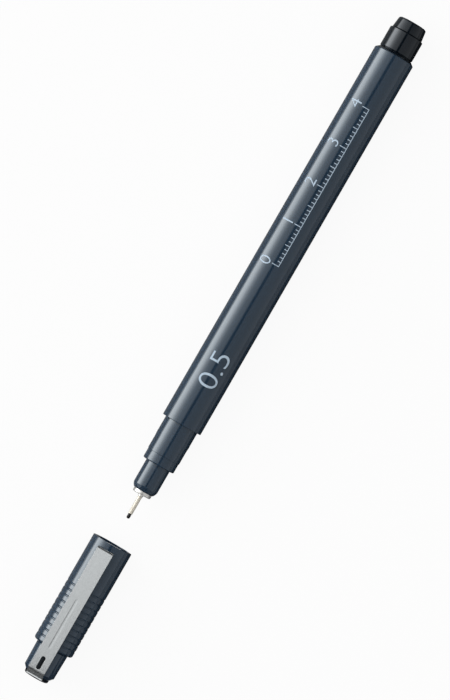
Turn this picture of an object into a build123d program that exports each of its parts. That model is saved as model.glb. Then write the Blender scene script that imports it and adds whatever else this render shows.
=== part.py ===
from build123d import *
import os

# Fineliner pen with its cap pulled off and laid in line in front of the nib.
# The pen lies along X with its tail towards +X and rests on the XY plane, clip upwards.
# Lengths are millimetres, and places along the pen are counted from the barrel's shoulder.

os.makedirs("parts", exist_ok=True)

# Fits, each on one side
press_fit = 0.01  # pieces pushed together for good
stop_gap = 0.1  # ends that come to rest against each other
bead_clearance = 0.05  # snap bead inside the cap
seal_clearance = 0.04  # nose inside the seal cup
overrun = 1.0  # how far cuts run past the surface they leave by

# Barrel, one moulding with the seat for the cap
barrel_diameter = 9.6
barrel_length = 95.2
barrel_wall = 1.1
barrel_rear_chamfer_length = 0.85
barrel_rear_chamfer_depth = 0.65
shoulder_chamfer = 0.1
front_web = 2.0
rib_height = 0.25
rib_width = 0.8
rib_count = 4
rib_run_out = 1.5

# Cap seat in front of the shoulder, three bands that step up, with a snap bead on the last
seat_length = 10.44
seat_front_length = 2.34
seat_front_step = 0.1
seat_front_chamfer = 0.25
seat_middle_length = 3.9
seat_middle_step = 0.05
bead_height = 0.06
bead_width = 0.75
bead_crest = 0.3
bead_lead = 0.53  # from the start of the last band to the middle of the bead

# Nose that holds the tip
nose_diameter = 5.9
nose_length = 6.66
nose_round_length = 1.1
nose_round_depth = 0.575
nose_wall = 0.7
spigot_step = 0.2
spigot_reach = 0.46  # how far the spigot goes past the shoulder
spigot_chamfer = 0.3
nib_guide_length = 6.0
nib_guide_clearance = 0.05
vent_width = 0.6
vent_depth = 0.3
vent_count = 2

# Metal tip: turned ferrule, drawn tube and plastic nib
flange_diameter = 4.4
flange_thickness = 0.9
flange_chamfer = 0.2
neck_diameter = 1.7
neck_length = 0.45
neck_chamfer = 0.12
ferrule_stem_diameter = 3.0
ferrule_stem_length = 5.0
tube_diameter = 1.0
tube_wall = 0.09
tube_length = 4.42
tube_setback = 0.8  # from the rear of the ferrule's stem to the rear of the tube
tube_end_chamfer = 0.04
nib_exposed = 1.2
nib_round_share = 0.83  # of the nib's radius
nib_clearance = 0.015
nib_rear_diameter = 1.3
nib_feed_depth = 3.5
nib_rear_chamfer = 0.3

# Ink reservoir
film_thickness = 0.1
reservoir_clearance = 0.05

# Tail plug
plug_overlap = 0.35
plug_head_length = 4.82
plug_head_chamfer = 0.12
plug_step = 0.37
plug_taper = 0.33
plug_end_length = 2.95
plug_end_chamfer = 0.3
plug_dome = 0.12
plug_spigot_length = 7.0
plug_spigot_chamfer = 0.35
plug_wall = 1.1
plug_end_wall = 2.2
plug_finger_length = 5.5
plug_finger_wall = 0.6
plug_finger_width = 2.4

# Cap
cap_rest_gap = 6.59  # from the nib's tip to the mouth of the cap as it lies
cap_wall = 0.69  # at the mouth, where the cap is flush with the barrel
cap_mouth_chamfer = 0.22
cap_mouth_lead = 0.4
cap_bore_spare = 0.8
snap_groove_width = 1.1
snap_groove_depth = 0.08
cap_shoulder_lead = 1.03  # from the end of the seal to the shoulder
cap_shoulder_depth = 0.975
cap_shoulder_chamfer = 0.4
cap_end_length = 6.8
cap_end_draft = 0.125
cap_end_wall = 1.15
cap_end_chamfer_length = 0.8
cap_end_chamfer_depth = 0.68
cap_end_floor = 1.7
grip_groove_pitch = 1.46
grip_groove_width = 0.52
grip_groove_depth = 0.13
grip_lead = 0.56  # from the end of the wide bore to the first groove
grip_tail = 1.6  # least room from the last groove to the shoulder

# Seal cup inside the cap
seal_wall = 0.5
seal_tip_room = 0.6
seal_floor = 0.9
seal_lead = 0.3
seal_spigot_length = 3.2
seal_spigot_chamfer = 0.4

# Crown that rivets the clip to the cap
crown_setback = 0.02  # inside the rim of the cap's end
crown_height = 0.8
crown_draft = 0.1
crown_chamfer = 0.18
crown_stem_diameter = 2.2
crown_stem_length = 3.0
crown_stem_chamfer = 0.3

# Sprung steel clip
clip_width = 3.95
clip_thickness = 0.4
clip_rise = 0.6  # room between the arm and the cap
clip_bend_radius = 1.25
clip_end_place = 1.45
clip_lip_radius = 0.55
clip_lip_clearance = 0.15
clip_edge_chamfer = 0.08
clip_seat_gap = 0.02
clip_stem_clearance = 0.12
clip_slot_inset = 3.1  # from the cap's end to the middle of the slot
clip_slot_length = 3.2
clip_slot_width = 1.05
clip_line_inset = 6.75  # from the cap's end to the pressed line
clip_line_length = 12.4
clip_line_width = 0.75
clip_line_depth = 0.08
clip_line_slope = 50  # degrees from upright, of the sides of the pressed line
clip_rock_room = 0.18  # room for the flange to rock when the arm is lifted
flange_side_room = 0.1
flange_corner_share = 0.96

# Radii that fits share
barrel_radius = barrel_diameter / 2
bore_radius = barrel_radius - barrel_wall
cap_bore_radius = barrel_radius - cap_wall
bead_radius = cap_bore_radius - bead_clearance
seat_radius = bead_radius - bead_height
seat_middle_radius = seat_radius - seat_middle_step
seat_front_radius = seat_middle_radius - seat_front_step
nose_radius = nose_diameter / 2
spigot_radius = nose_radius - spigot_step
socket_radius = spigot_radius + press_fit
tube_radius = tube_diameter / 2
tube_bore_radius = tube_radius - tube_wall
nib_radius = tube_bore_radius - nib_clearance
nib_round = nib_radius * nib_round_share
nib_rear_radius = nib_rear_diameter / 2
nib_guide_radius = nib_rear_radius + nib_guide_clearance
film_radius = bore_radius - rib_height - reservoir_clearance
core_radius = film_radius - film_thickness

# Places along the pen
nose_face = -seat_length - nose_length
flange_face = nose_face - flange_thickness
neck_face = flange_face - neck_length
tube_face = neck_face - tube_length
nib_tip = tube_face - nib_exposed
stem_rear = nose_face + ferrule_stem_length
tube_rear = stem_rear - tube_setback
guide_rear = stem_rear + nib_guide_length
seat_middle_front = seat_front_length - seat_length
seat_rear_front = seat_middle_front + seat_middle_length
bead_middle = seat_rear_front + bead_lead
bore_front = front_web + bore_radius - socket_radius
reservoir_front = front_web + film_radius - socket_radius + stop_gap
plug_front = barrel_length - plug_spigot_length
reservoir_rear = plug_front - plug_finger_length - stop_gap
nib_rear = reservoir_front + nib_feed_depth
pen_end = barrel_length + plug_head_length + plug_end_length

# Places along the cap, counted from its mouth, from the pen that goes into it
cap_bore_depth = seat_length + cap_bore_spare
seal_bore_end = seal_tip_room - nib_tip
seal_end = seal_bore_end + seal_floor
cap_shoulder_place = seal_end + cap_shoulder_lead
cap_length = cap_shoulder_place + cap_end_length
grip_start = cap_bore_depth + grip_lead
grip_room = cap_shoulder_place - grip_tail - grip_start
grip_groove_count = int(grip_room // grip_groove_pitch) + 1

# Placing of the pen and the cap, with the middle of the whole at X = 0
axis_height = barrel_radius
total_length = pen_end - nib_tip + cap_rest_gap + cap_length + crown_height
shoulder_x = total_length / 2 - pen_end
mouth_x = shoulder_x + nib_tip - cap_rest_gap
pen_axis = Axis((shoulder_x, 0, axis_height), (1, 0, 0))
cap_axis = Axis((mouth_x, 0, axis_height), (-1, 0, 0))

# Half sections are drawn on these planes: x runs along the piece and y is the radius upwards
pen_section = Plane(origin=pen_axis.position, x_dir=(1, 0, 0), z_dir=(0, -1, 0))
cap_section = Plane(origin=cap_axis.position, x_dir=(-1, 0, 0), z_dir=(0, 1, 0))

# Cross sections are drawn on these planes, y upwards, at the shoulder and at the cap's mouth
pen_cross = Plane(origin=pen_axis.position, x_dir=(0, 1, 0), z_dir=(1, 0, 0))
cap_cross = Plane(origin=cap_axis.position, x_dir=(0, -1, 0), z_dir=(-1, 0, 0))

# Barrel: tube, stepped seat, snap bead and inner ribs
with BuildPart() as barrel:
    with BuildSketch(pen_section):
        with BuildLine():
            Polyline(
                (-seat_length, socket_radius),
                (-seat_length, seat_front_radius - seat_front_chamfer),
                (seat_front_chamfer - seat_length, seat_front_radius),
                (seat_middle_front, seat_front_radius),
                (seat_middle_front, seat_middle_radius),
                (seat_rear_front, seat_middle_radius),
                (seat_rear_front, seat_radius),
                (bead_middle - bead_width / 2, seat_radius),
                (bead_middle - bead_crest / 2, bead_radius),
                (bead_middle + bead_crest / 2, bead_radius),
                (bead_middle + bead_width / 2, seat_radius),
                (0, seat_radius),
                (0, barrel_radius - shoulder_chamfer),
                (shoulder_chamfer, barrel_radius),
                (barrel_length - barrel_rear_chamfer_length, barrel_radius),
                (barrel_length, barrel_radius - barrel_rear_chamfer_depth),
                (barrel_length, bore_radius),
                (bore_front, bore_radius),
                (front_web, socket_radius),
                close=True,
            )
        make_face()
    revolve(axis=pen_axis)
    with BuildSketch(pen_cross.offset(bore_front)):
        with PolarLocations(bore_radius - rib_height, rib_count):
            Rectangle(rib_height + barrel_wall / 2, rib_width, align=(Align.MIN, Align.CENTER))
    extrude(amount=plug_front - rib_run_out - bore_front)

barrel.part.label = "barrel"
export_step(barrel.part, "parts/barrel.step")

# Nose: rounded front, spigot in the barrel, bores for the ferrule and the nib, and air vents
with BuildPart() as nose_cone:
    with BuildSketch(pen_section):
        with BuildLine():
            Polyline(
                (nose_face, ferrule_stem_diameter / 2 + press_fit),
                (nose_face, nose_radius - nose_round_depth),
            )
            EllipticalCenterArc(
                (nose_face + nose_round_length, nose_radius - nose_round_depth),
                nose_round_length,
                nose_round_depth,
                start_angle=90,
                arc_size=90,
            )
            Polyline(
                (nose_face + nose_round_length, nose_radius),
                (-seat_length, nose_radius),
                (-seat_length, spigot_radius),
                (spigot_reach - spigot_chamfer, spigot_radius),
                (spigot_reach, spigot_radius - spigot_chamfer),
                (spigot_reach, spigot_radius - nose_wall),
                (guide_rear, spigot_radius - nose_wall),
                (guide_rear, nib_guide_radius),
                (stem_rear, nib_guide_radius),
                (stem_rear, ferrule_stem_diameter / 2 + press_fit),
                (nose_face, ferrule_stem_diameter / 2 + press_fit),
            )
        make_face()
    revolve(axis=pen_axis)
    with BuildSketch(pen_cross.offset(-seat_length)):
        with PolarLocations(spigot_radius, vent_count):
            Rectangle(vent_depth * 2, vent_width)
    extrude(amount=seat_length + spigot_reach + overrun, mode=Mode.SUBTRACT)

nose_cone.part.label = "nose_cone"
export_step(nose_cone.part, "parts/nose_cone.step")

# Ferrule: flange against the nose, neck round the tube, and stem inside the nose
with BuildPart() as tip_ferrule:
    with BuildSketch(pen_section):
        with BuildLine():
            Polyline(
                (neck_face, tube_radius + press_fit),
                (neck_face, neck_diameter / 2 - neck_chamfer),
                (neck_face + neck_chamfer, neck_diameter / 2),
                (flange_face, neck_diameter / 2),
                (flange_face, flange_diameter / 2 - flange_chamfer),
                (flange_face + flange_chamfer, flange_diameter / 2),
                (nose_face, flange_diameter / 2),
                (nose_face, ferrule_stem_diameter / 2),
                (stem_rear, ferrule_stem_diameter / 2),
                (stem_rear, nib_guide_radius),
                (tube_rear, nib_guide_radius),
                (tube_rear, tube_radius + press_fit),
                close=True,
            )
        make_face()
    revolve(axis=pen_axis)

tip_ferrule.part.label = "tip_ferrule"
export_step(tip_ferrule.part, "parts/tip_ferrule.step")

# Tube that sheathes the nib
with BuildPart() as tip_tube:
    with BuildSketch(pen_section):
        with BuildLine():
            Polyline(
                (tube_face, tube_bore_radius),
                (tube_face, tube_radius - tube_end_chamfer),
                (tube_face + tube_end_chamfer, tube_radius),
                (tube_rear, tube_radius),
                (tube_rear, tube_bore_radius),
                close=True,
            )
        make_face()
    revolve(axis=pen_axis)

tip_tube.part.label = "tip_tube"
export_step(tip_tube.part, "parts/tip_tube.step")

# Nib: slim point in the tube, thicker behind it, with its rear end in the reservoir
with BuildPart() as nib:
    with BuildSketch(pen_section):
        with BuildLine():
            FilletPolyline(
                (nib_tip, 0),
                (nib_tip, nib_radius),
                (tube_rear + stop_gap, nib_radius),
                (tube_rear + stop_gap, nib_rear_radius),
                (nib_rear - nib_rear_chamfer, nib_rear_radius),
                (nib_rear, nib_rear_radius - nib_rear_chamfer),
                (nib_rear, 0),
                radius=[0, nib_round, 0, 0, 0, 0, 0],
                close=True,
            )
        make_face()
    revolve(axis=pen_axis)

nib.part.label = "nib"
export_step(nib.part, "parts/nib.step")

# Reservoir: fibre core with a socket for the nib
with BuildPart() as reservoir_core:
    with BuildSketch(pen_section):
        with BuildLine():
            Polyline(
                (reservoir_front, nib_rear_radius + press_fit),
                (reservoir_front, core_radius - press_fit),
                (reservoir_rear, core_radius - press_fit),
                (reservoir_rear, 0),
                (nib_rear + stop_gap, 0),
                (nib_rear + stop_gap, nib_rear_radius + press_fit),
                close=True,
            )
        make_face()
    revolve(axis=pen_axis)

reservoir_core.part.label = "reservoir_core"
export_step(reservoir_core.part, "parts/reservoir_core.step")

# Film wrapped round the fibre
with BuildPart() as reservoir_film:
    with BuildSketch(pen_cross.offset(reservoir_front)):
        Circle(film_radius)
        Circle(core_radius, mode=Mode.SUBTRACT)
    extrude(amount=reservoir_rear - reservoir_front)

reservoir_film.part.label = "reservoir_film"
export_step(reservoir_film.part, "parts/reservoir_film.step")

# Tail plug: stepped head, hollow spigot and two fingers that stop the reservoir
plug_head_radius = bore_radius + plug_overlap
plug_head_rear = barrel_length + plug_head_length
plug_end_radius = plug_head_radius - plug_step - plug_taper
plug_spigot_radius = bore_radius - press_fit
plug_core_radius = plug_spigot_radius - plug_wall
plug_finger_radius = plug_core_radius + plug_finger_wall
with BuildPart() as tail_plug:
    with BuildSketch(pen_section):
        with BuildLine():
            Polyline(
                (plug_front, plug_core_radius),
                (plug_front, plug_spigot_radius - plug_spigot_chamfer),
                (plug_front + plug_spigot_chamfer, plug_spigot_radius),
                (barrel_length, plug_spigot_radius),
                (barrel_length, plug_head_radius - plug_head_chamfer),
                (barrel_length + plug_head_chamfer, plug_head_radius),
                (plug_head_rear - plug_head_chamfer, plug_head_radius),
                (plug_head_rear, plug_head_radius - plug_head_chamfer),
                (plug_head_rear, plug_head_radius - plug_step),
                (pen_end - plug_dome - plug_end_chamfer, plug_end_radius),
                (pen_end - plug_dome, plug_end_radius - plug_end_chamfer),
                (pen_end, 0),
                (pen_end - plug_end_wall, 0),
                (pen_end - plug_end_wall, plug_core_radius),
                close=True,
            )
        make_face()
    revolve(axis=pen_axis)
    with BuildSketch(pen_cross.offset(plug_front)):
        Circle(plug_finger_radius)
        Circle(plug_core_radius, mode=Mode.SUBTRACT)
        Rectangle(plug_finger_width, plug_finger_radius * 2, mode=Mode.INTERSECT)
    extrude(amount=-plug_finger_length)

tail_plug.part.label = "tail_plug"
export_step(tail_plug.part, "parts/tail_plug.step")

# Radii of the cap's bores and closed end
seal_bore_radius = nose_radius + seal_clearance
seal_radius = seal_bore_radius + seal_wall
cap_end_radius = barrel_radius - cap_shoulder_depth
cap_end_bore_radius = cap_end_radius - cap_end_draft - cap_end_wall
cap_end_rim_radius = cap_end_radius - cap_end_draft - cap_end_chamfer_depth
crown_stem_radius = crown_stem_diameter / 2
flange_reach = clip_width / 2
dish_radius = flange_reach + flange_side_room

# Cap shell: stepped outside, stepped bores, dished end for the clip, and grip grooves
with BuildPart() as cap_shell:
    with BuildSketch(cap_section):
        with BuildLine():
            Polyline(
                (0, cap_bore_radius + cap_mouth_chamfer),
                (0, barrel_radius - cap_mouth_chamfer),
                (cap_mouth_chamfer, barrel_radius),
                (cap_shoulder_place - cap_shoulder_chamfer, barrel_radius),
                (cap_shoulder_place, barrel_radius - cap_shoulder_chamfer),
                (cap_shoulder_place, cap_end_radius),
                (cap_length - cap_end_chamfer_length, cap_end_radius - cap_end_draft),
                (cap_length, cap_end_rim_radius),
                (cap_length, dish_radius),
                (cap_length - clip_rock_room, dish_radius),
                (cap_length - clip_rock_room, crown_stem_radius + press_fit),
                (cap_length - cap_end_floor, crown_stem_radius + press_fit),
                (cap_length - cap_end_floor, cap_end_bore_radius),
                (seal_end + stop_gap, cap_end_bore_radius),
                (seal_end + stop_gap, seal_radius + press_fit),
                (cap_bore_depth, seal_radius + press_fit),
                (cap_bore_depth, cap_bore_radius),
                (cap_mouth_lead, cap_bore_radius),
                close=True,
            )
        make_face()
    revolve(axis=cap_axis)
    with BuildSketch(cap_section):
        with Locations((-bead_middle, cap_bore_radius)):
            Rectangle(snap_groove_width, snap_groove_depth * 2)
    revolve(axis=cap_axis, mode=Mode.SUBTRACT)
    with BuildSketch(cap_section):
        with Locations((grip_start + grip_room / 2, barrel_radius)):
            with GridLocations(grip_groove_pitch, 0, grip_groove_count, 1):
                Polygon(
                    (-grip_groove_width / 2, 0),
                    (0, -grip_groove_depth),
                    (grip_groove_width / 2, 0),
                    (0, grip_groove_depth),
                )
    revolve(axis=cap_axis, mode=Mode.SUBTRACT)

cap_shell.part.label = "cap_shell"
export_step(cap_shell.part, "parts/cap_shell.step")

# Seal cup: closes round the nose when the cap is on
with BuildPart() as inner_cap:
    with BuildSketch(cap_section):
        with BuildLine():
            Polyline(
                (cap_bore_depth, seal_bore_radius + seal_lead),
                (cap_bore_depth, seal_radius),
                (seal_end, seal_radius),
                (seal_end, cap_end_bore_radius - press_fit),
                (seal_end + seal_spigot_length - seal_spigot_chamfer, cap_end_bore_radius - press_fit),
                (seal_end + seal_spigot_length, cap_end_bore_radius - press_fit - seal_spigot_chamfer),
                (seal_end + seal_spigot_length, 0),
                (seal_bore_end, 0),
                (seal_bore_end, seal_bore_radius),
                (cap_bore_depth + seal_lead, seal_bore_radius),
                close=True,
            )
        make_face()
    revolve(axis=cap_axis)

inner_cap.part.label = "inner_cap"
export_step(inner_cap.part, "parts/inner_cap.step")

# Crown: button on a stem, with a channel under it for the clip's flange
crown_radius = cap_end_rim_radius - crown_setback
crown_end = cap_length + crown_height
with BuildPart() as cap_crown:
    with BuildSketch(cap_section):
        with BuildLine():
            Polyline(
                (cap_length - crown_stem_length, 0),
                (cap_length - crown_stem_length, crown_stem_radius - crown_stem_chamfer),
                (cap_length - crown_stem_length + crown_stem_chamfer, crown_stem_radius),
                (cap_length, crown_stem_radius),
                (cap_length, crown_radius),
                (crown_end - crown_chamfer, crown_radius - crown_draft),
                (crown_end, crown_radius - crown_draft - crown_chamfer),
                (crown_end, 0),
                close=True,
            )
        make_face()
    revolve(axis=cap_axis)
    with BuildSketch(cap_cross.offset(cap_length)):
        Circle(dish_radius)
        Rectangle(dish_radius * 2, crown_radius, align=(Align.CENTER, Align.MIN))
        Circle(crown_stem_radius, mode=Mode.SUBTRACT)
    extrude(amount=clip_seat_gap + clip_thickness + clip_rock_room, mode=Mode.SUBTRACT)

cap_crown.part.label = "cap_crown"
export_step(cap_crown.part, "parts/cap_crown.step")

# Clip: one strip of steel, with a flange round the crown's stem, a bend, a straight arm
# with a slot and a pressed line, and an end lip turned down towards the cap
flange_middle = cap_length + clip_seat_gap + clip_thickness / 2
arm_middle = barrel_radius + clip_rise + clip_thickness / 2
arm_top = arm_middle + clip_thickness / 2
lip_middle = clip_end_place + clip_thickness / 2
line_middle = cap_length - clip_line_inset - clip_line_length / 2
arm_plane = Plane(
    origin=(mouth_x, 0, axis_height + arm_top), x_dir=(-1, 0, 0), z_dir=(0, 0, 1)
)
with BuildPart() as clip:
    with BuildSketch(cap_section):
        with BuildLine():
            FilletPolyline(
                (flange_middle, -flange_reach),
                (flange_middle, arm_middle),
                (lip_middle, arm_middle),
                (lip_middle, barrel_radius + clip_lip_clearance),
                radius=[clip_bend_radius, clip_lip_radius],
            )
        trace(line_width=clip_thickness)
    extrude(amount=clip_width / 2, both=True)
    flange_corners = clip.edges().filter_by(Axis.X).group_by(Axis.Z)[0]
    fillet(flange_corners, flange_reach * flange_corner_share)
    with BuildSketch(cap_cross.offset(flange_middle)):
        Circle(crown_stem_radius + clip_stem_clearance)
    extrude(amount=clip_thickness, both=True, mode=Mode.SUBTRACT)
    with BuildSketch(arm_plane):
        with Locations((cap_length - clip_slot_inset, 0)):
            SlotOverall(clip_slot_length, clip_slot_width)
    extrude(amount=-clip_thickness - overrun, mode=Mode.SUBTRACT)
    for face_plane, pressing in (
        (arm_plane, Mode.SUBTRACT),
        (arm_plane.offset(-clip_thickness), Mode.ADD),
    ):
        with BuildSketch(face_plane):
            with Locations((line_middle, 0)):
                SlotOverall(clip_line_length, clip_line_width)
        extrude(amount=-clip_line_depth, taper=clip_line_slope, mode=pressing)
    arm_edges = clip.edges().filter_by(Axis.X).group_by(SortBy.LENGTH)[-1]
    chamfer(arm_edges.group_by(Axis.Z)[-1], clip_edge_chamfer)

clip.part.label = "clip"
export_step(clip.part, "parts/clip.step")
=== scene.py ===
import bmesh
import bpy
import math
from mathutils import Matrix, Vector


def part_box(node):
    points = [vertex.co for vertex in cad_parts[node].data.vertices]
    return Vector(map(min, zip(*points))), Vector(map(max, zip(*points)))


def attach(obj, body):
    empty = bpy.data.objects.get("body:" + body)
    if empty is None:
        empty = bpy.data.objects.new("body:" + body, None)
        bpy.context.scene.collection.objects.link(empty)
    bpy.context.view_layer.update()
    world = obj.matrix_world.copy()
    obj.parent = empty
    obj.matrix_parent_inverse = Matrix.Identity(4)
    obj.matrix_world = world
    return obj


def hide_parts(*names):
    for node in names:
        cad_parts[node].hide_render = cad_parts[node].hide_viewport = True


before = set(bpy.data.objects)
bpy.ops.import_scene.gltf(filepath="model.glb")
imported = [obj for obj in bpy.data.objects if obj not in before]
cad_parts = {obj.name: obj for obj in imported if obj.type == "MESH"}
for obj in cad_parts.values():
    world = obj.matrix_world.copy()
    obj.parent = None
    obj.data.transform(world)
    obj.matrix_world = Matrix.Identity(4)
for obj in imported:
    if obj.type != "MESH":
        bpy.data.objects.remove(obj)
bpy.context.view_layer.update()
mm = 0.001  # piece settings are in millimetres, the scene is in metres


class Flow:  # an output socket, and sums with it become Math nodes
    def __init__(self, nodes, socket):
        self.nodes = nodes
        self.socket = socket

    def maths(self, operation, first, second):
        return self.nodes.add("ShaderNodeMath", {"operation": operation}, {0: first, 1: second})

    def __add__(self, other):
        return self.maths("ADD", self, other)

    def __sub__(self, other):
        return self.maths("SUBTRACT", self, other)

    def __rsub__(self, other):
        return self.maths("SUBTRACT", other, self)

    def __mul__(self, other):
        return self.maths("MULTIPLY", self, other)

    def __truediv__(self, other):
        return self.maths("DIVIDE", self, other)

    def __rtruediv__(self, other):
        return self.maths("DIVIDE", other, self)

    __radd__ = __add__
    __rmul__ = __mul__


class Nodes:  # a node tree of a material or the world
    def __init__(self, owner):
        owner.use_nodes = True
        self.owner = owner
        self.tree = owner.node_tree

    def add(self, kind, settings=None, inputs=None, out=0):
        node = self.tree.nodes.new(kind)
        for key, value in (settings or {}).items():
            if key == "stops":
                self.setStops(node.color_ramp, value)
            else:
                setattr(node, key, value)
        for key, value in (inputs or {}).items():
            self.feed(node.inputs[key], value)
        return Flow(self, node.outputs[out])

    def feed(self, socket, value):
        if isinstance(value, Flow):
            self.tree.links.new(value.socket, socket)
        else:
            socket.default_value = value

    def setStops(self, ramp, stops):
        while len(ramp.elements) < len(stops):
            ramp.elements.new(1)
        for element, (place, colour) in zip(ramp.elements, stops):
            element.position = place
            element.color = colour

    def place(self):  # where on the piece, in metres in the part's frame
        return self.add("ShaderNodeTexCoord", out="Object")

    def axes(self, place):
        return [self.add("ShaderNodeSeparateXYZ", inputs={0: place}, out=i) for i in range(3)]

    def grain(self, place, size, detail=2):  # noise whose blobs have that size in mm
        stretch = [1 / (s * mm) for s in size]
        scaled = self.add("ShaderNodeVectorMath", {"operation": "MULTIPLY"}, {0: place, 1: stretch})
        return self.add("ShaderNodeTexNoise", inputs={"Vector": scaled, "Scale": 1, "Detail": detail})

    def smooth(self, value, low, high):  # 0 to 1 as the value goes from low to high
        return self.add("ShaderNodeMapRange", {"interpolation_type": "SMOOTHSTEP"}, {
            "Value": value, "From Min": low, "From Max": high})

    def blend(self, share, first, second):
        return self.add("ShaderNodeMix", {"data_type": "RGBA"}, {0: share, 6: first, 7: second}, out=2)

    def bump(self, height, depth):  # depth in mm
        return self.add("ShaderNodeBump", inputs={"Height": height, "Distance": depth * mm, "Strength": 1})


def screen(red, green, blue):  # a screen colour as the shader's linear one
    parts = [c / 255 for c in (red, green, blue)]
    return [p / 12.92 if p <= 0.04045 else ((p + 0.055) / 1.055) ** 2.4 for p in parts] + [1]


def finish(name, constants, varying=lambda nodes: {}):  # varying gives the linked sockets of the shader
    nodes = Nodes(bpy.data.materials.new(name))
    shader = nodes.tree.nodes["Principled BSDF"]
    for socket, value in constants.items():
        shader.inputs[socket].default_value = value
    for socket, value in varying(nodes).items():
        nodes.feed(shader.inputs[socket], value)
    return nodes.owner


def middle(node):  # the middle of a node's box
    low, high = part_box(node)
    return (low + high) / 2


# Finishes


def grainSkin(look):  # one grain drives colour, gloss and relief
    def skin(nodes):
        grain = nodes.grain(nodes.place(), look["size"], look["detail"])
        return {
            "Base Color": nodes.blend(grain, look["dark"], look["light"]),
            "Roughness": look["roughness"] + look["roughRange"] * grain,
            "Normal": nodes.bump(grain, look["depth"]),
        }
    return skin


def mouldedSkin(look):  # wide clouds of colour under a fine moulded grain
    def skin(nodes):
        place = nodes.place()
        fine = nodes.grain(place, look["skinSize"], look["skinDetail"])
        return {
            "Base Color": nodes.blend(nodes.grain(place, look["cloudSize"]), look["dark"], look["light"]),
            "Roughness": look["roughness"] + look["skinRough"] * fine,
            "Normal": nodes.bump(fine, look["skinDepth"]),
        }
    return skin


slateLook = {
    "dark": screen(28, 44, 59), "light": screen(34, 51, 68),
    "cloudSize": (30, 9, 9), "skinSize": (0.22, 0.16, 0.16), "skinDetail": 3,
    "hairSize": (14, 0.09, 0.09), "hairDetail": 1, "hairFrom": 0.66, "hairTo": 0.74, "hairShare": 0.3,
    "roughness": 0.13, "skinRough": 0.06, "hairRough": 0.1, "skinDepth": 0.0012,
}


def slateSkin(nodes):
    look = slateLook
    place = nodes.place()
    cloud = nodes.grain(place, look["cloudSize"])
    skin = nodes.grain(place, look["skinSize"], look["skinDetail"])
    strands = nodes.grain(place, look["hairSize"], look["hairDetail"])
    hair = nodes.smooth(strands, look["hairFrom"], look["hairTo"])  # handling scratches
    return {
        "Base Color": nodes.blend(cloud, look["dark"], look["light"]),
        "Roughness": look["roughness"] + look["skinRough"] * skin + look["hairRough"] * hair,
        "Normal": nodes.bump(skin + hair * look["hairShare"], look["skinDepth"]),
    }


slateConstants = {
    "IOR": 1.5, "Specular IOR Level": 0.4, "Specular Tint": (0.76, 0.92, 1, 1), "Coat Weight": 1,
    "Coat Roughness": 0.08}
slatePlastic = finish("slatePlastic", slateConstants, slateSkin)

# colour, roughness and extent of the shade painted on the cap under the clip
underClipShadeLook = {"colour": screen(9, 12, 16), "roughness": 0.4, "fromMouth": 27.2, "half": 1.7, "soft": 0.3}


def capSkin(nodes):  # the same plastic, with painted shade under the clip: darker, rougher and without the coat there
    look = underClipShadeLook
    skin = slateSkin(nodes)
    x, y, z = nodes.axes(nodes.place())
    half, soft = look["half"] * mm, look["soft"] * mm
    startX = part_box("cap_shell")[1].x - look["fromMouth"] * mm
    startZ = middle("barrel").z
    behind = nodes.smooth(x, startX, startX - soft)
    across = nodes.smooth(y * y, half ** 2, (half - soft) ** 2)
    # painted shade: the cap's top past its shoulder, within the clip's width, is darkened where the clip
    # shades it
    paintedShade = behind * across * nodes.smooth(z, startZ, startZ + soft)
    skin["Base Color"] = nodes.blend(paintedShade, skin["Base Color"], look["colour"])
    skin["Roughness"] = skin["Roughness"] + paintedShade * look["roughness"]
    skin["Coat Weight"] = 1 - paintedShade
    return skin


capPlastic = finish("capPlastic", slateConstants, capSkin)

blackLook = {
    "dark": screen(6, 12, 18), "light": screen(10, 17, 24),
    "cloudSize": (3, 2, 2), "skinSize": (0.14, 0.14, 0.14), "skinDetail": 3,
    "roughness": 0.1, "skinRough": 0.05, "skinDepth": 0.0006,
}
blackPlastic = finish("blackPlastic", {
    "IOR": 1.5, "Specular IOR Level": 0.3, "Specular Tint": (0.8, 0.9, 1, 1), "Coat Weight": 0.6,
    "Coat Roughness": 0.06}, mouldedSkin(blackLook))

steelLook = {
    "dark": screen(226, 231, 233), "light": screen(235, 239, 240),
    "brushSize": (9, 0.05, 0.05), "brushDetail": 3, "brushShare": 0.6,
    "fineSize": (2.5, 0.022, 0.022), "fineDetail": 2,
    "roughness": 0.2, "brushRough": 0.08, "brushDepth": 0.006,
}


def steelSkin(nodes):
    look = steelLook
    place = nodes.place()
    brush = nodes.grain(place, look["brushSize"], look["brushDetail"])
    fine = nodes.grain(place, look["fineSize"], look["fineDetail"])
    relief = brush * look["brushShare"] + fine * (1 - look["brushShare"])
    return {
        "Base Color": nodes.blend(brush, look["dark"], look["light"]),
        "Roughness": look["roughness"] + look["brushRough"] * brush,
        "Normal": nodes.bump(relief, look["brushDepth"]),
    }


clipSteel = finish("clipSteel", {"Metallic": 1}, steelSkin)

tipLook = {  # rings left by the turning tool
    "dark": screen(236, 235, 231), "light": screen(246, 245, 242), "size": (0.06, 40, 40), "detail": 2,
    "roughness": 0.16, "roughRange": 0.12, "depth": 0.001,
}
tipMetal = finish("tipMetal", {"Metallic": 0.7}, grainSkin(tipLook))

tubeLook = {  # drawn lengthwise
    "dark": screen(214, 208, 194), "light": screen(226, 220, 207), "size": (2, 0.05, 0.05), "detail": 2,
    "roughness": 0.45, "roughRange": 0.1, "depth": 0.0001,
}
tubeSteel = finish("tubeSteel", {"Metallic": 0.35}, grainSkin(tubeLook))

nibLook = {  # fine pores
    "dark": screen(8, 8, 10), "light": screen(26, 27, 30), "size": (0.09, 0.05, 0.05), "detail": 3,
    "roughness": 0.4, "roughRange": 0.3, "depth": 0.004,
}
nibPlastic = finish("nibPlastic", {"IOR": 1.45}, grainSkin(nibLook))

inkLook = {
    "thin": screen(150, 170, 190), "full": screen(181, 199, 215), "speckSize": (0.1, 0.1, 0.1),
    "speckDetail": 3, "coverFrom": 0.25, "coverTo": 0.5,
    "roughness": 0.42, "speckRough": 0.15, "speckDepth": 0.002,
}


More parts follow.
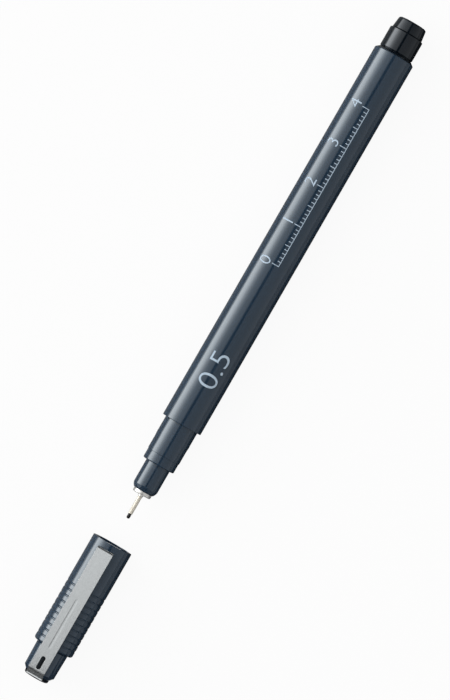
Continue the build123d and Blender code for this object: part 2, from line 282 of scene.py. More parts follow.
def inkSkin(nodes):
    look = inkLook
    speck = nodes.grain(nodes.place(), look["speckSize"], look["speckDetail"])
    cover = nodes.smooth(speck, look["coverFrom"], look["coverTo"])  # ink is thinner in a few specks
    return {
        "Base Color": nodes.blend(cover, look["thin"], look["full"]),
        "Roughness": look["roughness"] + look["speckRough"] * speck,
        "Normal": nodes.bump(speck, look["speckDepth"]),
    }


printInk = finish("printInk", {"IOR": 1.45}, inkSkin)

sealLook = {
    "dark": screen(186, 189, 187), "light": screen(208, 210, 207), "cloudSize": (2, 2, 2),
    "skinSize": (0.2, 0.2, 0.2), "skinDetail": 2, "roughness": 0.42, "skinRough": 0.1, "skinDepth": 0.002,
}
sealPlastic = finish("sealPlastic", {"IOR": 1.5, "Subsurface Weight": 0.1}, mouldedSkin(sealLook))

fibreLook = {  # strands that run lengthwise
    "dark": screen(10, 10, 14), "light": screen(46, 46, 56), "size": (9, 0.08, 0.08), "detail": 3,
    "roughness": 0.75, "roughRange": 0.2, "depth": 0.03,
}
inkFibre = finish("inkFibre", {}, grainSkin(fibreLook))

filmLook = {
    "thin": screen(196, 204, 210), "thick": screen(218, 224, 228), "wrinkleSize": (5, 0.6, 0.6),
    "wrinkleDetail": 2, "roughness": 0.12, "wrinkleRough": 0.15, "wrinkleDepth": 0.02,
    "cover": 0.35, "coverRange": 0.2,
}


def filmSkin(nodes):
    look = filmLook
    wrinkle = nodes.grain(nodes.place(), look["wrinkleSize"], look["wrinkleDetail"])
    return {
        "Base Color": nodes.blend(wrinkle, look["thin"], look["thick"]),
        "Roughness": look["roughness"] + look["wrinkleRough"] * wrinkle,
        "Normal": nodes.bump(wrinkle, look["wrinkleDepth"]),
        "Alpha": look["cover"] + look["coverRange"] * wrinkle,
    }


clearFilm = finish("clearFilm", {"IOR": 1.5}, filmSkin)
print("finishes:", len(bpy.data.materials))


# Shared ways of making pieces

turning = {"sides": 112, "roundSteps": 6, "hold": 0.06, "sharpAngle": 32, "weld": 1e-4, "onAxis": 1e-6}


def radiusOf(node):  # half a node's width, in mm
    low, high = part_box(node)
    return (high.y - low.y) / 2 / mm


axisZ = middle("barrel").z


def roundedOutline(corners):  # corners are (along, out, rounding), in mm
    outline = []
    for i, (along, out, rounding) in enumerate(corners):
        here = Vector((along, out))
        if rounding <= 0:
            outline.append(here)
            continue
        back = (Vector(corners[i - 1][:2]) - here).normalized()
        ahead = (Vector(corners[(i + 1) % len(corners)][:2]) - here).normalized()
        half = back.angle(ahead) / 2
        centre = here + (back + ahead).normalized() * rounding / math.sin(half)
        first = here + back * rounding / math.tan(half) - centre
        last = here + ahead * rounding / math.tan(half) - centre
        sweep = first.angle(last)
        hold = turning["hold"] * rounding  # keeps the flats beside a round flat in the shading
        outline.append(centre + first + back * hold)
        for k in range(turning["roundSteps"] + 1):
            share = k / turning["roundSteps"]
            mixed = first * math.sin((1 - share) * sweep) + last * math.sin(share * sweep)
            outline.append(centre + mixed / math.sin(sweep))
        outline.append(centre + last + ahead * hold)
    return outline


def addPiece(name, data):
    piece = bpy.data.objects.new(name, data)
    bpy.context.scene.collection.objects.link(piece)
    return piece


def makePiece(name, points, faces):
    mesh = bpy.data.meshes.new(name)
    mesh.from_pydata(points, [], faces)
    return addPiece(name, mesh)


def keepWork(name, work):  # a piece from a finished bmesh
    mesh = bpy.data.meshes.new(name)
    work.to_mesh(mesh)
    work.free()
    return addPiece(name, mesh)


def cleanUp(piece, sharpAngle=turning["sharpAngle"]):  # outward normals, smooth but for real edges
    work = bmesh.new()
    work.from_mesh(piece.data)
    bmesh.ops.remove_doubles(work, verts=work.verts, dist=turning["weld"] * mm)
    bmesh.ops.recalc_face_normals(work, faces=work.faces)
    work.to_mesh(piece.data)
    work.free()
    piece.data.shade_smooth()
    piece.data.set_sharp_from_angle(angle=math.radians(sharpAngle))


def dress(piece, material, body, slot, *nodes):
    piece.data.materials.clear()
    piece.data.materials.append(material)
    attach(piece, body)
    if nodes:
        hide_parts(*nodes)
    return piece


def spin(outline, startX, facing):  # rings of points and quads round the pen's axis
    points, faces, rings = [], [], []
    for along, out in outline:
        x = startX + facing * along * mm
        count = turning["sides"] if out > turning["onAxis"] else 1
        rings.append(range(len(points), len(points) + count))
        for k in range(count):
            angle = 2 * math.pi * k / turning["sides"]
            points.append((x, out * mm * math.sin(angle), axisZ + out * mm * math.cos(angle)))
    for ring, other in zip(rings, rings[1:] + rings[:1]):
        sides = max(len(ring), len(other))
        for k in range(sides if sides > 1 else 0):
            near, far = k, (k + 1) % sides
            if len(ring) == 1:
                faces.append((ring[0], other[far], other[near]))
            elif len(other) == 1:
                faces.append((ring[near], ring[far], other[0]))
            else:
                faces.append((ring[near], ring[far], other[far], other[near]))
    return points, faces


def turnedPiece(name, corners, startX, facing):
    piece = makePiece(name, *spin(roundedOutline(corners), startX, facing))
    cleanUp(piece)
    return piece


# Barrel with its stepped seat

barrelForm = {
    "seatLength": 10.44, "seatFront": 2.34, "seatMiddle": 3.9, "frontStep": 0.1, "middleStep": 0.05,
    "frontRound": 0.3, "frontGroove": 0.16, "frontGrooveDepth": 0.05, "stepRound": 0.03,
    "middleSlope": 0.7, "slopeRound": 0.5, "seatDepth": 0.8, "rootRound": 0.06, "shoulderRound": 0.12,
    "beadLead": 0.53, "beadWidth": 0.75, "beadHeight": 0.035, "beadRound": 0.5,
    "rearChamfer": 0.83, "rearDepth": 0.14, "rearRound": 0.2, "collar": 0.7,
    "wall": 1.1, "web": 2.0, "socket": 2.76,
}
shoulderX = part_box("barrel")[0].x + barrelForm["seatLength"] * mm
barrelRadius = radiusOf("barrel")


def makeBarrel():
    form = barrelForm
    rear = (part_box("barrel")[1].x - shoulderX) / mm
    bore = barrelRadius - form["wall"]
    seat = barrelRadius - form["seatDepth"]
    band = seat - form["middleStep"]
    front = band - form["frontStep"]
    second = form["seatFront"] - form["seatLength"]
    third = second + form["seatMiddle"]
    bead = third + form["beadLead"]
    corners = [
        (-form["seatLength"], form["socket"], 0),
        (-form["seatLength"], front, form["frontRound"]),
        (second - form["frontGroove"], front, 0),
        (second, front - form["frontGrooveDepth"], 0),
        (second, band, form["stepRound"]),
        (third - form["middleSlope"], band, form["slopeRound"]),
        (third, seat, form["slopeRound"]),
        (bead - form["beadWidth"] / 2, seat, form["beadRound"]),
        (bead, seat + form["beadHeight"], form["beadRound"]),
        (bead + form["beadWidth"] / 2, seat, form["beadRound"]),
        (0, seat, form["rootRound"]),
        (0, barrelRadius, form["shoulderRound"]),
        (rear - form["rearChamfer"], barrelRadius, form["rearRound"]),
        (rear - form["collar"], barrelRadius - form["rearDepth"], 0),
        (rear - form["collar"], bore, 0),
        (form["web"] + bore - form["socket"], bore, 0),
        (form["web"], form["socket"], 0),
    ]
    return turnedPiece("barrelBody", corners, shoulderX, 1)


dress(makeBarrel(), slatePlastic, "pen", "slate_plastic", "barrel")

# Nose that carries the tip

noseForm = {
    "roundLength": 1.15, "roundDepth": 0.62, "roundPower": 1.45, "roundSteps": 14,
    "spigotStep": 0.2, "spigotChamfer": 0.3, "wall": 0.7,
    "stemHole": 1.51, "stemDepth": 5.0, "guide": 0.7, "guideDepth": 11.0,
}


def makeNose():
    form = noseForm
    low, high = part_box("nose_cone")
    face, rear = (low.x - shoulderX) / mm, (high.x - shoulderX) / mm
    seatFront = -barrelForm["seatLength"]
    radius = round(radiusOf("nose_cone"), 2)
    spigot = radius - form["spigotStep"]
    inner = spigot - form["wall"]
    curve = [math.pi / 2 * k / form["roundSteps"] for k in range(form["roundSteps"] + 1)]
    corners = [(face, form["stemHole"], 0)]
    power = form["roundPower"]  # 1 is an ellipse, 2 a plain slant
    corners += [(face + form["roundLength"] * (1 - math.cos(a) ** power),
                 radius - form["roundDepth"] * (1 - math.sin(a) ** power), 0) for a in curve]
    corners += [
        (seatFront, radius, 0),
        (seatFront, spigot, 0),
        (rear - form["spigotChamfer"], spigot, 0),
        (rear, spigot - form["spigotChamfer"], 0),
        (rear, inner, 0),
        (face + form["guideDepth"], inner, 0),
        (face + form["guideDepth"], form["guide"], 0),
        (face + form["stemDepth"], form["guide"], 0),
        (face + form["stemDepth"], form["stemHole"], 0),
    ]
    return turnedPiece("noseBody", corners, shoulderX, 1)


dress(makeNose(), slatePlastic, "pen", "slate_plastic", "nose_cone")

# Metal tip and nib

tipForm = {
    "flangeThick": 0.9, "flangeRound": 0.28, "flangeBackRound": 0.12, "neck": 0.6, "neckLength": 0.45,
    "neckRound": 0.12, "neckRoot": 0.08, "stem": 1.5, "guide": 0.7, "guideDepth": 0.8, "bore": 0.51,
    "tubeFit": 0.01, "tubeWall": 0.09, "tubeRound": 0.035, "nib": 0.395, "nibRound": 0.33, "nibRear": 0.65,
    "nibRearRound": 0.3, "nibStop": 0.1,
}


def makeFerrule():
    form = tipForm
    low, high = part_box("tip_ferrule")
    length = (high.x - low.x) / mm
    flange = form["neckLength"]
    back = flange + form["flangeThick"]
    radius = round(radiusOf("tip_ferrule"), 2)
    corners = [
        (0, form["bore"], 0),
        (0, form["neck"], form["neckRound"]),
        (flange, form["neck"], form["neckRoot"]),
        (flange, radius, form["flangeRound"]),
        (back, radius, form["flangeBackRound"]),
        (back, form["stem"], 0),
        (length, form["stem"], 0),
        (length, form["guide"], 0),
        (length - form["guideDepth"], form["guide"], 0),
        (length - form["guideDepth"], form["bore"], 0),
    ]
    return turnedPiece("ferruleBody", corners, low.x, 1)


def makeTube():
    form = tipForm
    low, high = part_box("tip_tube")
    length = (high.x - low.x) / mm
    radius = form["bore"] - form["tubeFit"]
    inner = radius - form["tubeWall"]
    corners = [
        (0, inner, form["tubeRound"]),
        (0, radius, form["tubeRound"]),
        (length, radius, 0),
        (length, inner, 0),
    ]
    return turnedPiece("tubeSheath", corners, low.x, 1)


def makeNib():
    form = tipForm
    low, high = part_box("nib")
    length = (high.x - low.x) / mm
    step = (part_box("tip_tube")[1].x - low.x) / mm + form["nibStop"]
    corners = [
        (0, 0, 0),
        (0, form["nib"], form["nibRound"]),
        (step, form["nib"], 0),
        (step, form["nibRear"], 0),
        (length, form["nibRear"], form["nibRearRound"]),
        (length, 0, 0),
    ]
    return turnedPiece("nibPoint", corners, low.x, 1)


dress(makeFerrule(), tipMetal, "pen", "tip_metal", "tip_ferrule")
dress(makeTube(), tubeSteel, "pen", "tube_steel", "tip_tube")
dress(makeNib(), nibPlastic, "pen", "nib_plastic", "nib")

# Tail plug

plugForm = {
    "spigotLength": 7.0, "spigotChamfer": 0.35, "spigot": 3.69, "wall": 1.1,
    "neckPlace": -0.02, "neckDepth": 0.22, "neckWidth": 0.14, "neckRound": 0.03, "leadRound": 0.06,
    "headLength": 4.82, "headRound": 0.15, "step": 0.37, "rootWidth": 0.2, "rootDepth": 0.14,
    "rootRound": 0.04, "taper": 0.33, "endRound": 0.45, "dome": 0.12, "endWall": 2.2,
}


def makePlug():
    form = plugForm
    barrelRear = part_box("barrel")[1].x
    end = (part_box("tail_plug")[1].x - barrelRear) / mm
    head = radiusOf("tail_plug")
    core = form["spigot"] - form["wall"]
    corners = [
        (-form["spigotLength"], core, 0),
        (-form["spigotLength"], form["spigot"] - form["spigotChamfer"], 0),
        (form["spigotChamfer"] - form["spigotLength"], form["spigot"], 0),
        (-barrelForm["collar"], form["spigot"], 0),
        (-barrelForm["collar"], barrelRadius - barrelForm["rearDepth"], form["neckRound"]),
        (form["neckPlace"], head - form["neckDepth"], form["neckRound"]),
        (form["neckWidth"], head, form["leadRound"]),
        (form["headLength"], head, form["headRound"]),
        (form["headLength"], head - form["step"] - form["rootDepth"], 0),
        (form["headLength"] + form["rootWidth"], head - form["step"], form["rootRound"]),
        (end - form["dome"], head - form["step"] - form["taper"], form["endRound"]),
        (end, 0, 0),
        (end - form["endWall"], 0, 0),
        (end - form["endWall"], core, 0),
    ]
    return turnedPiece("plugBody", corners, barrelRear, 1)


dress(makePlug(), blackPlastic, "pen", "black_plastic", "tail_plug")
print("pen pieces made")

# Cap shell with its grip grooves

capForm = {
    "wall": 0.69, "mouthLead": 0.06, "mouthDepth": 0.12, "mouthRound": 0.04,
    "shoulder": 26.6, "shoulderRound": 0.55, "shoulderDepth": 0.975, "rootWidth": 0.3, "rootDepth": 0.2,
    "draft": 0.125, "endChamfer": 0.8, "endChamferDepth": 0.68,
    "endRound": 0.12, "dish": 2.075, "dishDepth": 0.18, "stemHole": 1.11, "floor": 1.7, "endBore": 2.55,
    "sealEnd": 25.67, "sealBore": 3.5, "bore": 11.24, "snapPlace": 3.67, "snapWidth": 1.1, "snapDepth": 0.08,
    "grooves": 10, "firstGroove": 11.83, "groovePitch": 1.46, "grooveWidth": 0.52, "grooveDepth": 0.13,
    "grooveRound": 0.18,
}
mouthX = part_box("cap_shell")[1].x


def makeCapShell():
    form = capForm
    length = (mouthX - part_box("cap_shell")[0].x) / mm
    bore = barrelRadius - form["wall"]
    endRadius = barrelRadius - form["shoulderDepth"]
    rim = endRadius - form["draft"] - form["endChamferDepth"]
    corners = [(0, bore + form["mouthLead"], 0), (0, barrelRadius, form["mouthRound"])]
    for k in range(form["grooves"]):
        place = form["firstGroove"] + k * form["groovePitch"]
        for side, depth in ((-0.5, 0), (0, form["grooveDepth"]), (0.5, 0)):
            corners.append((place + side * form["grooveWidth"], barrelRadius - depth, form["grooveRound"]))
    corners += [
        (form["shoulder"], barrelRadius, form["shoulderRound"]),
        (form["shoulder"], endRadius - form["rootDepth"], 0),
        (form["shoulder"] + form["rootWidth"], endRadius, 0),
        (length - form["endChamfer"], endRadius - form["draft"], form["endRound"]),
        (length, rim, form["endRound"]),
        (length, form["dish"], 0),
        (length - form["dishDepth"], form["dish"], 0),
        (length - form["dishDepth"], form["stemHole"], 0),
        (length - form["floor"], form["stemHole"], 0),
        (length - form["floor"], form["endBore"], 0),
        (form["sealEnd"], form["endBore"], 0),
        (form["sealEnd"], form["sealBore"], 0),
        (form["bore"], form["sealBore"], 0),
        (form["bore"], bore, 0),
    ]
    for side, depth in ((0.5, 0), (0.5, 1), (-0.5, 1), (-0.5, 0)):
        corners.append((form["snapPlace"] + side * form["snapWidth"], bore + depth * form["snapDepth"], 0))
    corners.append((form["mouthDepth"], bore, form["mouthRound"]))
    return turnedPiece("capShell", corners, mouthX, -1)


dress(makeCapShell(), capPlastic, "cap", "slate_plastic", "cap_shell")

# Spring clip: cut flat, embossed, then bent along its path

clipForm = {
    "width": 3.95, "thick": 0.4, "bend": 1.55, "lip": 0.55, "lipClear": 0.15,
    "edgeRound": 0.01, "edgeSteps": 3, "edgeProfile": 0.5, "sharpAngle": 14, "rimAngle": 1, "level": 1e-6,
    "flangeRound": 1.85, "endCorner": 0.3, "stemHole": 1.22, "holeSteps": 40,
    "slotPlace": 30.3, "slotLength": 3.2, "slotWidth": 1.05, "slotRound": 0.999,
    "lineStart": 14.25, "lineEnd": 26.65, "lineHalf": 0.375, "lineDepth": 0.013, "lineSide": 0.24,
    "lineCuts": 60, "bendCuts": 14, "sideCuts": 14,
}


class ClipPath:  # from a place on the flat strip to the bent one
    def __init__(self):
        form = clipForm
        low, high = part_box("clip")
        self.reach = form["width"] / 2
        self.flange = (mouthX - low.x) / mm - form["thick"] / 2
        self.arm = (high.z - axisZ) / mm - form["thick"] / 2
        self.lip = (mouthX - high.x) / mm + form["thick"] / 2
        self.bendStart = self.reach + self.arm - form["bend"]
        self.armStart = self.bendStart + form["bend"] * math.pi / 2
        self.lipStart = self.armStart + self.flange - form["bend"] - self.lip - form["lip"]
        self.lipEnd = self.lipStart + form["lip"] * math.pi / 2
        self.end = self.lipEnd + self.arm - form["lip"] - barrelRadius - form["lipClear"]

    def onArm(self, place):  # along the strip, for a place counted from the cap's mouth
        return self.armStart + self.flange - clipForm["bend"] - place

    def bent(self, along, height):  # counted from the mouth, and out from the axis
        form = clipForm
        if along < self.bendStart:
            return self.flange + height, along - self.reach
        if along < self.armStart:
            turn = (along - self.bendStart) / form["bend"]
            out = form["bend"] + height
            return (self.flange - form["bend"] + out * math.cos(turn),
                    self.arm - form["bend"] + out * math.sin(turn))
        if along < self.lipStart:
            return self.flange - form["bend"] - (along - self.armStart), self.arm + height
        turn = min((along - self.lipStart) / form["lip"], math.pi / 2)
        out = form["lip"] + height
        drop = max(along - self.lipEnd, 0)
        return (self.lip + form["lip"] - out * math.sin(turn),
                self.arm - form["lip"] + out * math.cos(turn) - drop)


def loopPoints(corners):
    return [Vector((p[0], p[1], 0)) for p in roundedOutline(corners)]


def makeClip():
    form = clipForm
    path = ClipPath()
    half = form["width"] / 2
    outline = [(0, -half, form["flangeRound"]), (path.end, -half, form["endCorner"]),
               (path.end, half, form["endCorner"]), (0, half, form["flangeRound"])]
    ring = [2 * math.pi * k / form["holeSteps"] for k in range(form["holeSteps"])]
    hole = [(path.reach + form["stemHole"] * math.cos(a), form["stemHole"] * math.sin(a), 0) for a in ring]
    slotEnd = form["slotWidth"] / 2
    slotReach = form["slotLength"] / 2
    slotMiddle = path.onArm(form["slotPlace"])
    slot = [(slotMiddle + x * slotReach, y * slotEnd, slotEnd * form["slotRound"])
            for x, y in ((-1, -1), (1, -1), (1, 1), (-1, 1))]
    work = bmesh.new()
    edges = []
    for loop in (outline, hole, slot):
        points = [work.verts.new(p) for p in loopPoints(loop)]
        edges += [work.edges.new((a, b)) for a, b in zip(points, points[1:] + points[:1])]
    bmesh.ops.triangle_fill(work, edges=edges, use_beauty=True, use_dissolve=False)

    lineFirst, lineLast = path.onArm(form["lineEnd"]), path.onArm(form["lineStart"])
    stations = [path.bendStart + (path.armStart - path.bendStart) * k / form["bendCuts"]
                for k in range(form["bendCuts"] + 1)]
    stations += [path.lipStart + (path.lipEnd - path.lipStart) * k / form["bendCuts"]
                 for k in range(form["bendCuts"] + 1)]
    stations += [lineFirst + (lineLast - lineFirst) * k / form["lineCuts"]
                 for k in range(-1, form["lineCuts"] + 2)]
    lanes = [form["lineHalf"] * (2 * k / form["sideCuts"] - 1) for k in range(-1, form["sideCuts"] + 2)]
    for cuts, normal in ((stations, Vector((1, 0, 0))), (lanes, Vector((0, 1, 0)))):
        for cut in cuts:
            bmesh.ops.bisect_plane(work, geom=work.verts[:] + work.edges[:] + work.faces[:],
                                   plane_co=normal * cut, plane_no=normal)

    sheet = work.faces[:]
    grown = bmesh.ops.extrude_face_region(work, geom=sheet, use_keep_orig=True)["geom"]
    for v in grown:
        if isinstance(v, bmesh.types.BMVert):
            v.co.z = form["thick"] / 2
    for face in sheet:
        for v in face.verts:
            v.co.z = -form["thick"] / 2
    bmesh.ops.recalc_face_normals(work, faces=work.faces)
    rims = [e for e in work.edges if len(e.link_faces) == 2 and e.calc_face_angle(0) > form["rimAngle"]
            and abs(e.verts[0].co.z - e.verts[1].co.z) < form["level"]]
    bmesh.ops.bevel(work, geom=rims, offset=form["edgeRound"], segments=form["edgeSteps"],
                    profile=form["edgeProfile"], affect="EDGES")
    for v in work.verts:
        along, side, height = v.co
        past = max(lineFirst + form["lineHalf"] - along, along - lineLast + form["lineHalf"], 0)
        inside = (form["lineHalf"] - math.hypot(past, side)) / form["lineSide"]
        inside = min(max(inside, 0), 1)  # 0 outside the pressed line, 1 on its floor
        height -= form["lineDepth"] * inside * inside * (3 - 2 * inside)
        place, out = path.bent(along, height)
        v.co = (mouthX - place * mm, side * mm, axisZ + out * mm)
    piece = keepWork("clipSpring", work)
    cleanUp(piece, form["sharpAngle"])
    return piece


dress(makeClip(), clipSteel, "clip_arm", "clip_steel", "clip")

# Solids whose form is right keep it, and get their finish here

keptSolids = {
    "cap_crown": blackPlastic, "inner_cap": sealPlastic,
    "reservoir_core": inkFibre, "reservoir_film": clearFilm,
}
for node, material in keptSolids.items():
    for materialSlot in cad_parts[node].material_slots:
        materialSlot.material = material
print("cap pieces made")

# Print on the barrel: a plain number, and a short measuring scale

printForm = {
    "film": 0.02, "sink": 0.008, "laneWidth": 0.15, "flatHalf": 0.5,
    "number": "0.5", "numberStart": 9.9, "numberEnd": 18.2, "numberHeight": 4.5, "numberAngle": -9,
    "scaleStart": 41, "scaleLength": 40, "scaleAngle": -19.6, "lineWidth": 0.17,
    "tick": 0.8, "halfTick": 1.2, "longTick": 1.7, "figureHeight": 2.8, "figureGap": 0.45, "thinner": 0.012,
}


def flatText(words, height, start, width=None, low=0):  # without a width it is centred on its start
    curve = bpy.data.curves.new("figures", "FONT")
    curve.body = words
    curve.extrude = printForm["flatHalf"]
    curve.offset = -printForm["thinner"]
    holder = addPiece("figures", curve)
    depsgraph = bpy.context.evaluated_depsgraph_get()
    mesh = bpy.data.meshes.new_from_object(holder.evaluated_get(depsgraph))
    bpy.data.objects.remove(holder)
    xs, ys = [v.co.x for v in mesh.vertices], [v.co.y for v in mesh.vertices]
    tall = height / (max(ys) - min(ys))
    wide = width / (max(xs) - min(xs)) if width else tall
    shift = 0 if width else (max(xs) - min(xs)) * wide / 2
    for v in mesh.vertices:
        v.co = (start - shift + (v.co.x - min(xs)) * wide, low + (v.co.y - min(ys)) * tall, v.co.z)
    return mesh


def wrapPrint(name, parts, angle):  # bends flat parts round the barrel, y = 0 comes at that angle
    form = printForm
    work = bmesh.new()
    for mesh in parts:
        work.from_mesh(mesh)
        bpy.data.meshes.remove(mesh)
    bmesh.ops.remove_doubles(work, verts=work.verts, dist=turning["weld"])
    low, high = min(v.co.y for v in work.verts), max(v.co.y for v in work.verts)
    for k in range(1, int((high - low) / form["laneWidth"]) + 1):
        bmesh.ops.bisect_plane(work, geom=work.verts[:] + work.edges[:] + work.faces[:],
                               plane_co=(0, low + k * form["laneWidth"], 0), plane_no=(0, 1, 0))
    for v in work.verts:
        turn = math.radians(angle) + v.co.y / barrelRadius
        out = (barrelRadius + (form["film"] - form["sink"] if v.co.z > 0 else -form["sink"])) * mm
        v.co = (shoulderX + v.co.x * mm, out * math.sin(turn), axisZ + out * math.cos(turn))
    piece = keepWork(name, work)
    cleanUp(piece)
    return piece


def flatBar(startX, endX, lowY, highY):
    half = printForm["flatHalf"]
    points = [(x, y, z) for x in (startX, endX) for y in (lowY, highY) for z in (-half, half)]
    sides = [(0, 1, 3, 2), (4, 6, 7, 5), (0, 4, 5, 1), (2, 3, 7, 6), (0, 2, 6, 4), (1, 5, 7, 3)]
    mesh = bpy.data.meshes.new("bar")
    mesh.from_pydata(points, [], sides)
    return mesh


def makeScale():
    form = printForm
    half = form["lineWidth"] / 2
    start, end = form["scaleStart"], form["scaleStart"] + form["scaleLength"]
    parts = [flatBar(start - half, end + half, -half, half)]
    for k in range(form["scaleLength"] + 1):
        long = form["longTick"] if k % 10 == 0 else form["halfTick"] if k % 5 == 0 else form["tick"]
        place = start + k
        parts.append(flatBar(place - half, place + half, half, long))
        if k % 10 == 0:
            parts.append(flatText(str(k // 10), form["figureHeight"], place, low=long + form["figureGap"]))
    return wrapPrint("measureScale", parts, form["scaleAngle"])


def makeNumber():
    form = printForm
    height, start = form["numberHeight"], form["numberStart"]
    flat = flatText(form["number"], height, start, form["numberEnd"] - start, -height / 2)
    return wrapPrint("numberMark", [flat], form["numberAngle"])


dress(makeNumber(), printInk, "pen", "slate_plastic")
dress(makeScale(), printInk, "pen", "slate_plastic")
print("print made")

# Floor, light tent and surroundings

stageForm = {
    "floorSize": 12, "tentRadius": 0.6, "tentHalfLength": 1.1, "tentSteps": 96,
    "tentStart": -93, "tentEnd": 92, "tentFoot": 0.0005,
}


def whiteShare(nodes, camera, gloss):  # how much of the plain white a ray sees
    seen = [nodes.add("ShaderNodeLightPath", out=ray) for ray in (
        "Is Camera Ray", "Is Glossy Ray", "Is Transmission Ray")]
    return camera * seen[0] + gloss * (seen[1] + seen[2])


floorLook = {"colour": screen(226, 226, 226), "roughness": 0.9, "cameraWhite": 0.93, "glossWhite": 0.5}


def makeFloor():
    half = stageForm["floorSize"] / 2
    corners = [(-half, -half, 0), (half, -half, 0), (half, half, 0), (-half, half, 0)]
    floor = makePiece("floor", corners, [(0, 1, 2, 3)])
    nodes = Nodes(bpy.data.materials.new("paleFloor"))
    plain = nodes.tree.nodes["Principled BSDF"]
    plain.inputs["Base Color"].default_value = floorLook["colour"]
    plain.inputs["Roughness"].default_value = floorLook["roughness"]
    white = nodes.add("ShaderNodeEmission", inputs={"Strength": 1})
    share = whiteShare(nodes, floorLook["cameraWhite"], floorLook["glossWhite"])
    mixed = nodes.add("ShaderNodeMixShader", inputs={0: share, 1: Flow(nodes, plain.outputs[0]), 2: white})
    nodes.feed(nodes.tree.nodes["Material Output"].inputs["Surface"], mixed)
    floor.data.materials.append(nodes.owner)


tentLook = {
    "strength": 5.4, "brightHalf": 0.2, "dimHalf": 0.3, "dimLevel": 0.16, "dimRight": 0.04, "turnOver": 10,
    # angle from overhead towards +Y in degrees, and level
    "levels": [
        (-93, 0.1), (-75, 0.09), (-55, 0.075), (-30, 0.07), (-13.8, 0.066), (-12.8, 0), (-1.2, 0),
        (0.3, 0.09), (5, 0.135), (10, 0.15), (21, 0.17), (26, 0.19), (32, 0.25), (37, 0.315), (43, 0.42),
        (49, 0.55), (55, 0.75), (61, 0.92), (72, 1), (80, 1), (88, 0.3), (92, 0.05)],
}


def makeTent():  # a softbox bent over the pen, brightest low on one side
    form, look = stageForm, tentLook
    span = form["tentEnd"] - form["tentStart"]
    points, faces = [], []
    for k in range(form["tentSteps"] + 1):
        angle = math.radians(form["tentStart"] + span * k / form["tentSteps"])
        y = form["tentRadius"] * math.sin(angle)
        z = max(axisZ + form["tentRadius"] * math.cos(angle), form["tentFoot"])
        points += [(-form["tentHalfLength"], y, z), (form["tentHalfLength"], y, z)]
        if k:
            faces.append((2 * k - 2, 2 * k - 1, 2 * k + 1, 2 * k))
    tent = makePiece("lightTent", points, faces)
    nodes = Nodes(bpy.data.materials.new("tentGlow"))
    x, y, z = nodes.axes(nodes.place())
    angle = nodes.add("ShaderNodeMath", {"operation": "ARCTAN2"}, {0: y, 1: z - axisZ}) * (180 / math.pi)
    stops = [((a - form["tentStart"]) / span, (level, level, level, 1)) for a, level in look["levels"]]
    level = nodes.add("ShaderNodeValToRGB", {"stops": stops}, {0: (angle - form["tentStart"]) / span})
    beside = nodes.smooth(x * x, look["dimHalf"] ** 2, look["brightHalf"] ** 2)
    left = nodes.smooth(angle, -look["turnOver"], look["turnOver"])
    dim = look["dimRight"] + (look["dimLevel"] - look["dimRight"]) * left
    limit = dim + (1 - dim) * beside  # past the pen's ends the softbox is dim
    glow = nodes.add("ShaderNodeEmission", inputs={
        "Color": level.maths("MINIMUM", level, limit), "Strength": look["strength"]})
    nodes.feed(nodes.tree.nodes["Material Output"].inputs["Surface"], glow)
    tent.data.materials.append(nodes.owner)
    tent.visible_camera = False


cardRoughness = 0.9
lift = 0.0003  # of a card that lies on the floor
cardForm = {  # two opposite corners in metres, grey, glow, and whether it stops light
    "leftCard": ((-0.083, 0.0018, lift), (0.3, 0.12, lift), 0.18, 0, False),
    "rightCard": ((-0.083, -0.015, lift), (0.3, -0.6, lift), 0.3, 0, False),
    "nearCard": ((-0.083, -0.0018, lift), (0.3, -0.015, lift), 0.02, 0, False),
    "headFloor": ((-0.6, -0.35, lift), (-0.11, 0.35, lift), 0.02, 0, False),
    "headLeft": ((-0.11, 0.0045, lift), (-0.083, 0.12, lift), 0.02, 0, False),
    "headRight": ((-0.11, -0.35, lift), (-0.083, -0.0045, lift), 0.02, 0, False),
    "headRoof": ((-0.6, -0.35, 0.5), (-0.17, 0.35, 0.5), 0.08, 0, True),
    "headEnd": ((-0.6, -0.35, 0.004), (-0.6, 0.35, 0.5), 0.12, 0, True),
    "tailRoof": ((0.6, -0.35, 0.5), (0.31, 0.35, 0.5), 0.06, 0, True),
    "tailEnd": ((0.6, -0.55, 0.004), (0.6, 0.55, 0.5), 0.08, 0, True),
    "softPanel": ((-0.35, -0.5, 0.25), (0.35, -0.05, 0.56), 0.02, 1.0, False),
    "sidePanel": ((-0.35, 0.5, 0.05), (0.35, 0.35, 0.42), 0.02, 2.1, False),
}


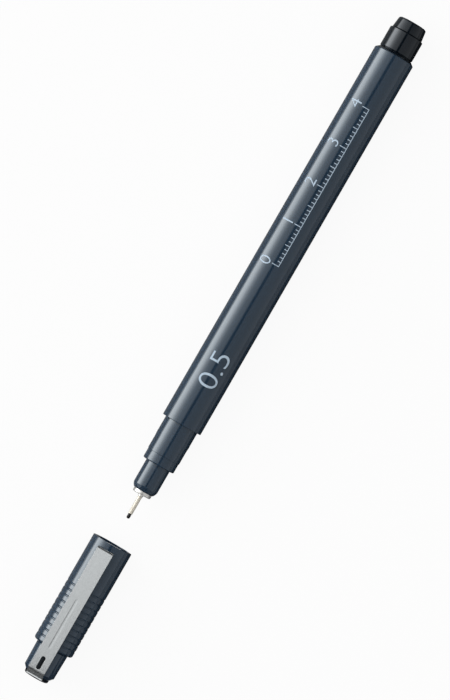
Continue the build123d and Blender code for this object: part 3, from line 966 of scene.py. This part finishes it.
def makeCard(name, first, last, grey, glow, stops):
    (x, y, z), (farX, farY, farZ) = first, last
    if x == farX:
        corners = [(x, y, z), (x, farY, z), (x, farY, farZ), (x, y, farZ)]
    else:
        corners = [(x, y, z), (farX, y, z), (farX, farY, farZ), (x, farY, farZ)]
    card = makePiece(name, corners, [(0, 1, 2, 3)])
    card.data.materials.append(finish(name, {
        "Base Color": (grey, grey, grey, 1), "Roughness": cardRoughness,
        "Emission Color": (1, 1, 1, 1), "Emission Strength": glow}))
    card.visible_camera = False
    card.visible_shadow = stops
    card.visible_diffuse = glow > 0  # panels only add soft light
    card.visible_glossy = glow == 0  # and the other cards show only in reflections


worldLook = {"grey": 0.25, "cameraWhite": 1, "glossWhite": 0.7}


def makeWorld():
    world = bpy.data.worlds.new("surroundings")
    bpy.context.scene.world = world
    nodes = Nodes(world)
    dim = nodes.add("ShaderNodeBackground", inputs={"Strength": worldLook["grey"]})
    white = nodes.add("ShaderNodeBackground", inputs={"Strength": 1})
    for background in (dim, white):
        background.socket.node.inputs["Color"].default_value = (1, 1, 1, 1)
    share = whiteShare(nodes, worldLook["cameraWhite"], worldLook["glossWhite"])
    mixed = nodes.add("ShaderNodeMixShader", inputs={0: share, 1: dim, 2: white})
    nodes.feed(nodes.tree.nodes["World Output"].inputs["Surface"], mixed)


makeFloor()
makeTent()
for card, settings in cardForm.items():
    makeCard(card, *settings)
makeWorld()
print("stage made")

# Camera, from the photograph's perspective

cameraForm = {
    "distance": 0.834, "along": 0.1, "aside": -0.067, "tilt": 6.2, "turn": 60.007, "sensor": 36,
    "pixelsPerMm": 4.5, "imageHeight": 700, "near": 0.05, "far": 50,
}


def makeCamera():
    form = cameraForm
    tilt, turn = math.radians(form["tilt"]), math.radians(form["turn"])
    back = Vector((0, -math.sin(tilt), math.cos(tilt)))
    lengthwise, across = Vector((1, 0, 0)), Vector((0, math.cos(tilt), math.sin(tilt)))
    right = math.cos(turn) * lengthwise - math.sin(turn) * across
    up = math.sin(turn) * lengthwise + math.cos(turn) * across
    data = bpy.data.cameras.new("photoCamera")
    data.sensor_width = form["sensor"]
    seen = form["imageHeight"] / form["pixelsPerMm"] * mm
    data.lens = form["sensor"] * form["distance"] / seen
    data.clip_start, data.clip_end = form["near"], form["far"]
    camera = addPiece("photoCamera", data)
    place = Vector((form["along"] * mm, form["aside"] * mm, axisZ)) + back * form["distance"]
    camera.matrix_world = Matrix.Translation(place) @ Matrix((right, up, back)).transposed().to_4x4()
    bpy.context.scene.camera = camera


makeCamera()
bpy.context.scene.view_settings.view_transform = "Standard"
